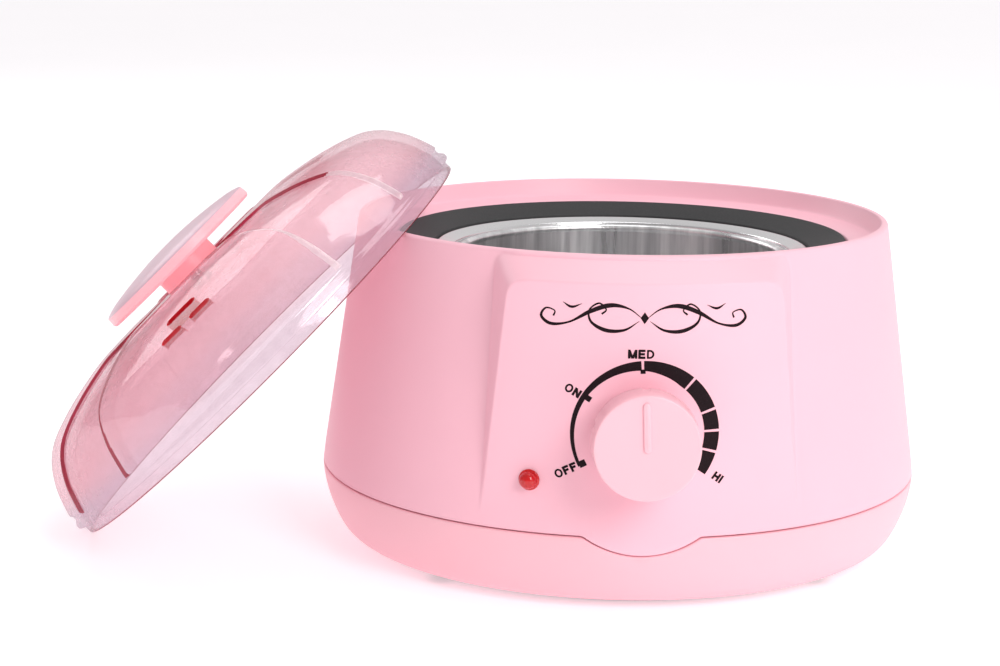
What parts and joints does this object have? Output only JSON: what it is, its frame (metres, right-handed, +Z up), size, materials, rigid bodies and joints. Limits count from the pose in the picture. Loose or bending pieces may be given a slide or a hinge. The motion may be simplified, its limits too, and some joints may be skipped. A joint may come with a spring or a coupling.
{
  "type": "wax warmer",
  "caption": "Round heated pot in a pink plastic body with a dial thermostat, pilot lamp, lift-out wax pot and a clear vented lid leaning on its side.",
  "frame": {"origin": "on the table, at the centre of the foot ring, on the body's vertical axis", "axes": "+Z up; -Y towards the control panel and the user; the lid leans out towards -X; the cord inlet is at +Y"},
  "size_m": [0.2705, 0.203, 0.1257],
  "materials": {
    "body_plastic": "satin moulded pink",
    "knob_plastic": "satin moulded pale pink",
    "lid_clear": "clear tinted pink, glossy",
    "ring_dark": "dark heat-proof, fine matt grain",
    "polished_aluminium": "spun and polished",
    "scale_print": "printed ink",
    "lens_red": "glossy red lens",
    "foot_rubber": "matt",
    "steel": "zinc plated",
    "bail_wire": "bright drawn wire",
    "brass": "turned",
    "contact_bronze": "rolled strip",
    "mica_band": "mica heater band",
    "glass_wool": "woven glass-fibre wrap",
    "fuse_body": "plated can",
    "ceramic_white": "unglazed insulator",
    "white_plastic": "moulded nylon",
    "black_plastic": "moulded black",
    "wire_insulation": "silicone sleeved lead"
  },
  "bodies": {
    "warmer": {"upper_housing": "body_plastic", "base_shell": "body_plastic", "foot_ring": "foot_rubber", "base_screws": "steel", "heat_ring": "ring_dark", "heating_well": "polished_aluminium", "heating_band": "mica_band", "band_strap": "steel", "insulation_wrap": "glass_wool", "well_bracket": "steel", "bracket_screws": "steel", "thermal_fuse": "fuse_body", "fuse_clip": "steel", "thermostat_bracket": "steel", "thermostat_bushing": "brass", "thermostat_nut": "steel", "contact_stack": "ceramic_white", "fixed_contact": "contact_bronze", "dial_scale": "scale_print", "indicator_lens": "lens_red", "lamp_holder": "black_plastic", "terminal_block": "white_plastic", "lead_wires": "wire_insulation", "cord_grommet": "black_plastic"},
    "knob": {"control_knob": "knob_plastic", "control_shaft": "steel", "adjusting_cam": "white_plastic"},
    "contact_blade": {"moving_contact": "contact_bronze"},
    "pot": {"wax_pot": "polished_aluminium", "bail_ears": "polished_aluminium"},
    "bail": {"pot_bail": "bail_wire"},
    "lid": {"lid_shell": "lid_clear", "lid_knob": "knob_plastic", "lid_screw": "steel", "lid_washer": "steel"}
  },
  "joints": [
    {"name": "lid_swing", "type": "hinge", "parent": "warmer", "child": "lid", "pos_m": [0, 0, -0.051], "axis": [0.0349, 0.9994, 0], "range_deg": [0, 45.4]},
    {"name": "pot_lift", "type": "slide", "parent": "warmer", "child": "pot", "axis": [0, 0, -1], "range_m": [-0.075, 0]},
    {"name": "bail_fold", "type": "hinge", "parent": "pot", "child": "bail", "pos_m": [0, 0, 0.083], "axis": [1, 0, 0], "range_deg": [-90, 0]},
    {"name": "knob_turn", "type": "hinge", "parent": "warmer", "child": "knob", "pos_m": [0, -0.1, 0.0535], "axis": [0, 1, 0], "range_deg": [-115.5, 127.5]},
    {"name": "contact_flex", "type": "hinge", "parent": "warmer", "child": "contact_blade", "pos_m": [0, -0.0786, 0.04725], "axis": [1, 0, 0], "range_deg": [0, 1.5], "stiffness_Nm_per_rad": 0.02}
  ]
}
